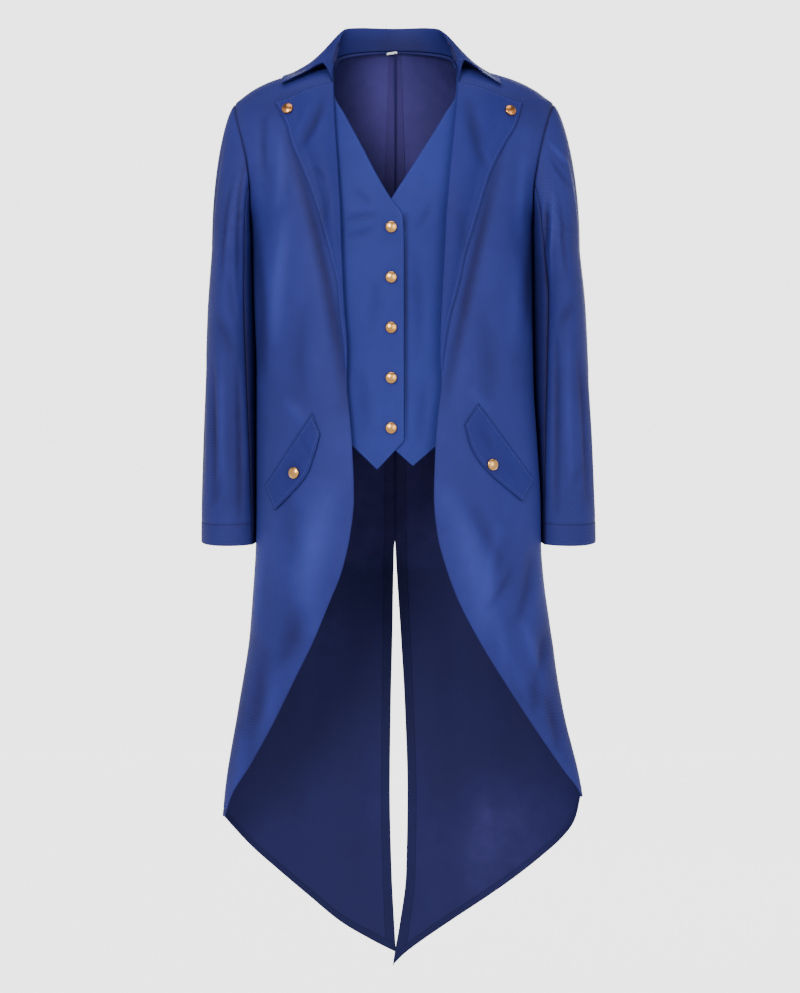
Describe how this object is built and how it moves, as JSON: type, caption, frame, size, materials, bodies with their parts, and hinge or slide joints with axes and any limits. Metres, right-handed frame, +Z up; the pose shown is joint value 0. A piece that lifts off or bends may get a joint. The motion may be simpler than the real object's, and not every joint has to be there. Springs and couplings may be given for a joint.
{
  "type": "tailcoat",
  "caption": "Long-sleeved blue tailcoat with a pointed tail, turn-down collar, long lapels, slanted pocket flaps and an attached false waistcoat front, filled out as worn.",
  "frame": {"origin": "middle of the neck opening, level with the points where the shoulder seams meet the collar", "axes": "+Z up, -Y towards the front of the coat, +X towards the wearer's left"},
  "size_m": [0.5405, 0.2412, 1.3143],
  "materials": {
    "coat_cloth": "smooth twill polyester with a soft sheen",
    "turned_cloth": "smooth twill polyester with a soft sheen",
    "waistcoat_cloth": "smooth twill polyester with a soft sheen",
    "button_metal": "polished",
    "label_cloth": "plain woven"
  },
  "bodies": {
    "root": {"coat_front_right": "coat_cloth", "coat_front_left": "coat_cloth", "coat_back_right": "coat_cloth", "coat_back_left": "coat_cloth", "sleeve_top_right": "coat_cloth", "sleeve_top_left": "coat_cloth", "sleeve_under_right": "coat_cloth", "sleeve_under_left": "coat_cloth", "lapel_right": "turned_cloth", "lapel_left": "turned_cloth", "collar": "turned_cloth", "pocket_flap_right": "turned_cloth", "pocket_flap_left": "turned_cloth", "waistcoat_right": "waistcoat_cloth", "waistcoat_left": "waistcoat_cloth", "button_front_1": "button_metal", "button_front_2": "button_metal", "button_front_3": "button_metal", "button_front_4": "button_metal", "button_front_5": "button_metal", "button_lapel_right": "button_metal", "button_lapel_left": "button_metal", "button_flap_right": "button_metal", "button_flap_left": "button_metal", "neck_label": "label_cloth"}
  },
  "joints": []
}
